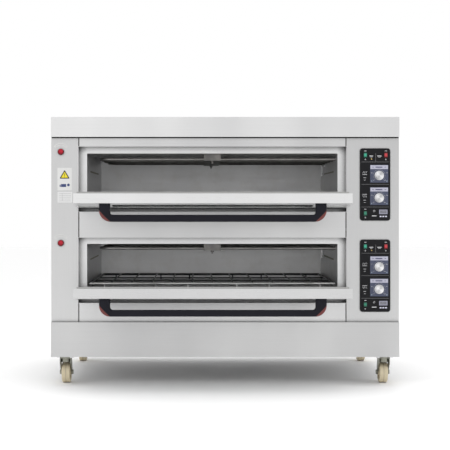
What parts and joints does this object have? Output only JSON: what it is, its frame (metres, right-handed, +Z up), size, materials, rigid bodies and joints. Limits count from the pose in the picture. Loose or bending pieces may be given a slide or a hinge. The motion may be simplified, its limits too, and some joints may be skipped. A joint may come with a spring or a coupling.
{
  "type": "deck oven",
  "caption": "Floor-standing bakery deck oven with drop-down glazed doors, wire racks, thermostat panels and swivel casters.",
  "frame": {"origin": "on the floor under the middle of the oven's bounding box, with both doors open as at rest", "axes": "+Z up; the front with the doors and controls faces -Y; +X is to the right as seen from the front"},
  "size_m": [1.22, 1.0264, 0.9425],
  "materials": {
    "stainless_panel": "brushed, horizontal grain",
    "stainless_door": "brushed, horizontal grain",
    "chamber_steel": "mill finish, slightly heat-dulled",
    "galvanised": "zinc plated",
    "frame_paint": "grey primer",
    "mineral_wool": "matt fibre",
    "element_sheath": "dull stainless sheath",
    "bright_fitting": "bright",
    "floor_steel": "blued sheet, satin",
    "rack_wire": "black enamel, satin",
    "panel_black": "fine satin",
    "controller_plate": "printed face, satin",
    "timer_face": "satin",
    "switch_black": "satin",
    "contactor_case": "satin",
    "gland_nylon": "satin",
    "seal": "matt silicone",
    "pane": "clear, toughened",
    "handle_black": "semi-gloss",
    "trim_red": "semi-gloss",
    "bearing_metal": "sintered bronze",
    "knob_metal": "spun, bright",
    "rocker_green": "translucent, glossy",
    "rocker_red": "translucent, glossy",
    "button_red": "glossy",
    "caster_steel": "zinc plated",
    "wheel_nylon": "cream nylon, satin"
  },
  "bodies": {
    "cabinet": {"chassis_frame": "frame_paint", "base_panels": "stainless_panel", "canopy": "stainless_panel", "side_panels": "stainless_panel", "rear_panel": "galvanised", "left_front_panel": "stainless_panel", "control_fascia": "stainless_panel", "front_rails": "stainless_panel", "door_frames": "stainless_panel", "hinge_brackets": "galvanised", "baking_chambers": "chamber_steel", "insulation": "mineral_wool", "heating_elements": "element_sheath", "heater_supports": "bright_fitting", "temperature_probes": "bright_fitting", "floor_plates": "floor_steel", "baking_racks": "rack_wire", "control_panels": "panel_black", "temperature_controllers": "controller_plate", "timer_modules": "timer_face", "switch_housings": "switch_black", "contactors": "contactor_case", "cable_gland": "gland_nylon", "caster_plates": "caster_steel", "fasteners": "bright_fitting"},
    "upper_door": {"upper_door_shell": "stainless_door", "upper_door_liner": "stainless_door", "upper_door_glass": "pane", "upper_door_gasket": "seal", "upper_door_bearings": "bearing_metal", "upper_handle": "handle_black", "upper_handle_trims": "trim_red"},
    "upper_top_heat_knob": {"upper_top_heat_knob": "knob_metal"},
    "upper_bottom_heat_knob": {"upper_bottom_heat_knob": "knob_metal"},
    "upper_power_rocker": {"upper_power_rocker": "rocker_green"},
    "upper_stop_rocker": {"upper_stop_rocker": "rocker_red"},
    "upper_timer_rocker": {"upper_timer_rocker": "rocker_green"},
    "upper_push_button": {"upper_push_button": "button_red"},
    "lower_door": {"lower_door_shell": "stainless_door", "lower_door_liner": "stainless_door", "lower_door_glass": "pane", "lower_door_gasket": "seal", "lower_door_bearings": "bearing_metal", "lower_handle": "handle_black", "lower_handle_trims": "trim_red"},
    "lower_top_heat_knob": {"lower_top_heat_knob": "knob_metal"},
    "lower_bottom_heat_knob": {"lower_bottom_heat_knob": "knob_metal"},
    "lower_power_rocker": {"lower_power_rocker": "rocker_green"},
    "lower_stop_rocker": {"lower_stop_rocker": "rocker_red"},
    "lower_timer_rocker": {"lower_timer_rocker": "rocker_green"},
    "lower_push_button": {"lower_push_button": "button_red"},
    "front_left_caster_fork": {"front_left_caster_fork": "caster_steel"},
    "front_left_caster_wheel": {"front_left_caster_wheel": "wheel_nylon"},
    "rear_left_caster_fork": {"rear_left_caster_fork": "caster_steel"},
    "rear_left_caster_wheel": {"rear_left_caster_wheel": "wheel_nylon"},
    "front_right_caster_fork": {"front_right_caster_fork": "caster_steel"},
    "front_right_caster_wheel": {"front_right_caster_wheel": "wheel_nylon"},
    "rear_right_caster_fork": {"rear_right_caster_fork": "caster_steel"},
    "rear_right_caster_wheel": {"rear_right_caster_wheel": "wheel_nylon"}
  },
  "joints": [
    {"name": "upper_door_hinge", "type": "hinge", "parent": "cabinet", "child": "upper_door", "pos_m": [-0.0445, -0.30679, 0.63], "axis": [-1, 0, 0], "range_deg": [0, 85]},
    {"name": "upper_top_heat_turn", "type": "hinge", "parent": "cabinet", "child": "upper_top_heat_knob", "pos_m": [0.54, -0.32479, 0.7375], "axis": [0, 1, 0], "range_deg": [0, 270]},
    {"name": "upper_bottom_heat_turn", "type": "hinge", "parent": "cabinet", "child": "upper_bottom_heat_knob", "pos_m": [0.54, -0.32479, 0.659], "axis": [0, 1, 0], "range_deg": [0, 270]},
    {"name": "upper_power_rock", "type": "hinge", "parent": "cabinet", "child": "upper_power_rocker", "pos_m": [0.4915, -0.31979, 0.809], "axis": [1, 0, 0], "range_deg": [0, 16]},
    {"name": "upper_stop_rock", "type": "hinge", "parent": "cabinet", "child": "upper_stop_rocker", "pos_m": [0.5635, -0.31979, 0.809], "axis": [1, 0, 0], "range_deg": [0, 16]},
    {"name": "upper_timer_rock", "type": "hinge", "parent": "cabinet", "child": "upper_timer_rocker", "pos_m": [0.4915, -0.31979, 0.605], "axis": [1, 0, 0], "range_deg": [0, 16]},
    {"name": "upper_button_push", "type": "slide", "parent": "cabinet", "child": "upper_push_button", "axis": [0, 1, 0], "range_m": [0, 0.003], "stiffness_N_per_m": 500, "springref_m": -0.001},
    {"name": "lower_door_hinge", "type": "hinge", "parent": "cabinet", "child": "lower_door", "pos_m": [-0.0445, -0.30679, 0.31], "axis": [-1, 0, 0], "range_deg": [0, 85]},
    {"name": "lower_top_heat_turn", "type": "hinge", "parent": "cabinet", "child": "lower_top_heat_knob", "pos_m": [0.54, -0.32479, 0.4175], "axis": [0, 1, 0], "range_deg": [0, 270]},
    {"name": "lower_bottom_heat_turn", "type": "hinge", "parent": "cabinet", "child": "lower_bottom_heat_knob", "pos_m": [0.54, -0.32479, 0.339], "axis": [0, 1, 0], "range_deg": [0, 270]},
    {"name": "lower_power_rock", "type": "hinge", "parent": "cabinet", "child": "lower_power_rocker", "pos_m": [0.4915, -0.31979, 0.489], "axis": [1, 0, 0], "range_deg": [0, 16]},
    {"name": "lower_stop_rock", "type": "hinge", "parent": "cabinet", "child": "lower_stop_rocker", "pos_m": [0.5635, -0.31979, 0.489], "axis": [1, 0, 0], "range_deg": [0, 16]},
    {"name": "lower_timer_rock", "type": "hinge", "parent": "cabinet", "child": "lower_timer_rocker", "pos_m": [0.4915, -0.31979, 0.285], "axis": [1, 0, 0], "range_deg": [0, 16]},
    {"name": "lower_button_push", "type": "slide", "parent": "cabinet", "child": "lower_push_button", "axis": [0, 1, 0], "range_m": [0, 0.003], "stiffness_N_per_m": 500, "springref_m": -0.001},
    {"name": "front_left_swivel", "type": "hinge", "parent": "cabinet", "child": "front_left_caster_fork", "pos_m": [-0.565, -0.25479, 0.09], "axis": [0, 0, 1], "continuous": true},
    {"name": "front_left_roll", "type": "hinge", "parent": "front_left_caster_fork", "child": "front_left_caster_wheel", "pos_m": [-0.565, -0.22779, 0.0375], "axis": [1, 0, 0], "continuous": true},
    {"name": "rear_left_swivel", "type": "hinge", "parent": "cabinet", "child": "rear_left_caster_fork", "pos_m": [-0.565, 0.42521, 0.09], "axis": [0, 0, 1], "continuous": true},
    {"name": "rear_left_roll", "type": "hinge", "parent": "rear_left_caster_fork", "child": "rear_left_caster_wheel", "pos_m": [-0.565, 0.39821, 0.0375], "axis": [1, 0, 0], "continuous": true},
    {"name": "front_right_swivel", "type": "hinge", "parent": "cabinet", "child": "front_right_caster_fork", "pos_m": [0.565, -0.25479, 0.09], "axis": [0, 0, 1], "continuous": true},
    {"name": "front_right_roll", "type": "hinge", "parent": "front_right_caster_fork", "child": "front_right_caster_wheel", "pos_m": [0.565, -0.22779, 0.0375], "axis": [1, 0, 0], "continuous": true},
    {"name": "rear_right_swivel", "type": "hinge", "parent": "cabinet", "child": "rear_right_caster_fork", "pos_m": [0.565, 0.42521, 0.09], "axis": [0, 0, 1], "continuous": true},
    {"name": "rear_right_roll", "type": "hinge", "parent": "rear_right_caster_fork", "child": "rear_right_caster_wheel", "pos_m": [0.565, 0.39821, 0.0375], "axis": [1, 0, 0], "continuous": true}
  ]
}
